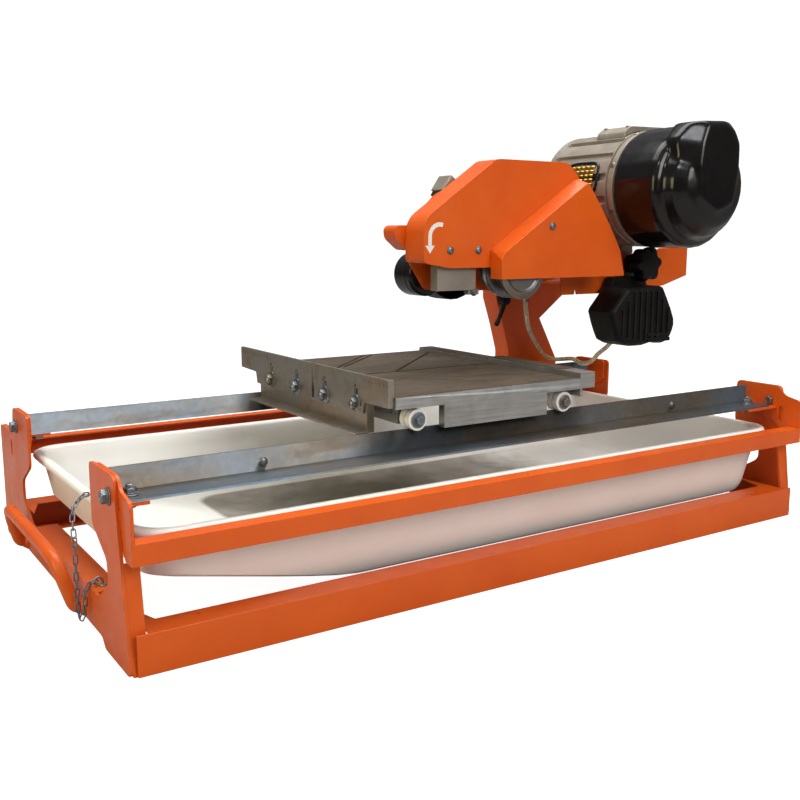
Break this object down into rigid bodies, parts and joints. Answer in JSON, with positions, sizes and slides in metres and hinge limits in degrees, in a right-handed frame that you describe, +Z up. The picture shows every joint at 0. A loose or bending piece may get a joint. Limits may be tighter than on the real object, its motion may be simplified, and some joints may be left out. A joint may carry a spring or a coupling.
{
  "type": "masonry saw",
  "caption": "Bench masonry saw: folded steel frame, white water tray, rolling table on two tracks with an end fence, and a belt-driven motor head with blade guard on a column.",
  "frame": {"origin": "on the floor, under the middle of the machine's box", "axes": "+X along the tracks away from the operator's end, +Y across them towards the column side, +Z up"},
  "size_m": [1.303, 0.672, 0.6869],
  "materials": {
    "orange_paint": "glossy powder coat",
    "zinc": "galvanised, slightly bluish",
    "aluminium": "mill finish",
    "white_plastic": "moulded, satin",
    "rubber": "matt, worn",
    "gloss_black": "high gloss",
    "matt_black": "satin",
    "grey_casting": "painted casting",
    "steel": "turned",
    "clear_hose": "milky clear"
  },
  "bodies": {
    "frame": {"left_end_frame": "orange_paint", "right_end_frame": "orange_paint", "near_lower_rail": "orange_paint", "far_lower_rail": "orange_paint", "near_side_bar": "orange_paint", "far_side_bar": "orange_paint", "near_track": "zinc", "far_track": "zinc", "water_tray": "white_plastic", "left_carrying_bail": "orange_paint", "right_carrying_bail": "orange_paint", "tray_chain": "zinc", "side_bar_bolt_near_left": "zinc", "side_bar_bolt_near_right": "zinc", "side_bar_bolt_far_left": "zinc", "side_bar_bolt_far_right": "zinc", "head_column": "orange_paint", "head_bracket": "orange_paint", "water_inlet": "grey_casting", "water_hose": "clear_hose", "water_pump": "matt_black", "pump_hanger": "zinc"},
    "carriage": {"table_plate": "aluminium", "table_mat": "rubber", "table_end_stop": "aluminium", "fence_bracket": "zinc", "fence_bolt_1": "zinc", "fence_bolt_2": "zinc", "fence_bolt_3": "zinc", "fence_bolt_4": "zinc", "roller_bolt_near_left": "zinc", "roller_bolt_near_right": "zinc", "roller_bolt_far_left": "zinc", "roller_bolt_far_right": "zinc"},
    "fence": {"fence_plate": "zinc"},
    "roller_near_left": {"track_roller_near_left": "white_plastic"},
    "roller_near_right": {"track_roller_near_right": "white_plastic"},
    "roller_far_left": {"track_roller_far_left": "white_plastic"},
    "roller_far_right": {"track_roller_far_right": "white_plastic"},
    "head": {"blade_guard": "orange_paint", "guard_side_cover": "orange_paint", "head_arm": "orange_paint", "front_handle": "orange_paint", "switch_housing": "gloss_black", "switch_base": "matt_black", "water_nozzle_block": "grey_casting", "spindle_housing": "steel", "drive_belt": "rubber", "belt_cover": "matt_black", "motor_body": "grey_casting", "terminal_box": "grey_casting", "fan_cover": "gloss_black"},
    "spindle": {"spindle": "steel", "outer_flange": "zinc", "spindle_pulley": "steel"},
    "rotor": {"motor_rotor": "steel", "motor_pulley": "steel"},
    "knob": {"star_knob": "matt_black"},
    "lever": {"clamp_lever": "matt_black"},
    "switch_lid": {"power_switch": "grey_casting"}
  },
  "joints": [
    {"name": "carriage_slide", "type": "slide", "parent": "frame", "child": "carriage", "axis": [1, 0, 0], "range_m": [-0.34, 0.325]},
    {"name": "fence_height", "type": "slide", "parent": "carriage", "child": "fence", "axis": [0, 0, 1], "range_m": [-0.012, 0]},
    {"name": "head_plunge", "type": "hinge", "parent": "frame", "child": "head", "pos_m": [0.4836, 0.007, 0.436], "axis": [0, 1, 0], "range_deg": [0, 18]},
    {"name": "rotor_spin", "type": "hinge", "parent": "head", "child": "rotor", "pos_m": [0.4576, 0.007, 0.573], "axis": [0, 1, 0], "continuous": true},
    {"name": "spindle_spin", "type": "hinge", "parent": "head", "child": "spindle", "pos_m": [0.1536, 0.007, 0.43], "axis": [0, 1, 0], "continuous": true},
    {"name": "switch_lid_open", "type": "hinge", "parent": "head", "child": "switch_lid", "pos_m": [0.07725, 0.017, 0.57794], "axis": [0, 1, 0], "range_deg": [0, 70]},
    {"name": "star_knob_turn", "type": "hinge", "parent": "frame", "child": "knob", "pos_m": [0.4836, -0.033, 0.436], "axis": [0, 1, 0], "range_deg": [-360, 0]},
    {"name": "clamp_lever_turn", "type": "hinge", "parent": "frame", "child": "lever", "pos_m": [0.3816, 0.247, 0.356], "axis": [0, 1, 0], "range_deg": [0, 80]},
    {"name": "roller_spin_near_left", "type": "hinge", "parent": "carriage", "child": "roller_near_left", "pos_m": [-0.1724, -0.2355, 0.2373], "axis": [0, 1, 0], "range_deg": [-1520, 1450]},
    {"name": "roller_spin_near_right", "type": "hinge", "parent": "carriage", "child": "roller_near_right", "pos_m": [0.0996, -0.2355, 0.2373], "axis": [0, 1, 0], "range_deg": [-1520, 1450]},
    {"name": "roller_spin_far_left", "type": "hinge", "parent": "carriage", "child": "roller_far_left", "pos_m": [-0.1724, 0.1695, 0.2373], "axis": [0, 1, 0], "range_deg": [-1520, 1450]},
    {"name": "roller_spin_far_right", "type": "hinge", "parent": "carriage", "child": "roller_far_right", "pos_m": [0.0996, 0.1695, 0.2373], "axis": [0, 1, 0], "range_deg": [-1520, 1450]}
  ],
  "couplings": [
    {"joint": "spindle_spin", "follows": "rotor_spin", "ratio": 0.95238},
    {"joint": "roller_spin_near_left", "follows": "carriage_slide", "rad_per_m": 76.923},
    {"joint": "roller_spin_near_right", "follows": "carriage_slide", "rad_per_m": 76.923},
    {"joint": "roller_spin_far_left", "follows": "carriage_slide", "rad_per_m": 76.923},
    {"joint": "roller_spin_far_right", "follows": "carriage_slide", "rad_per_m": 76.923}
  ]
}
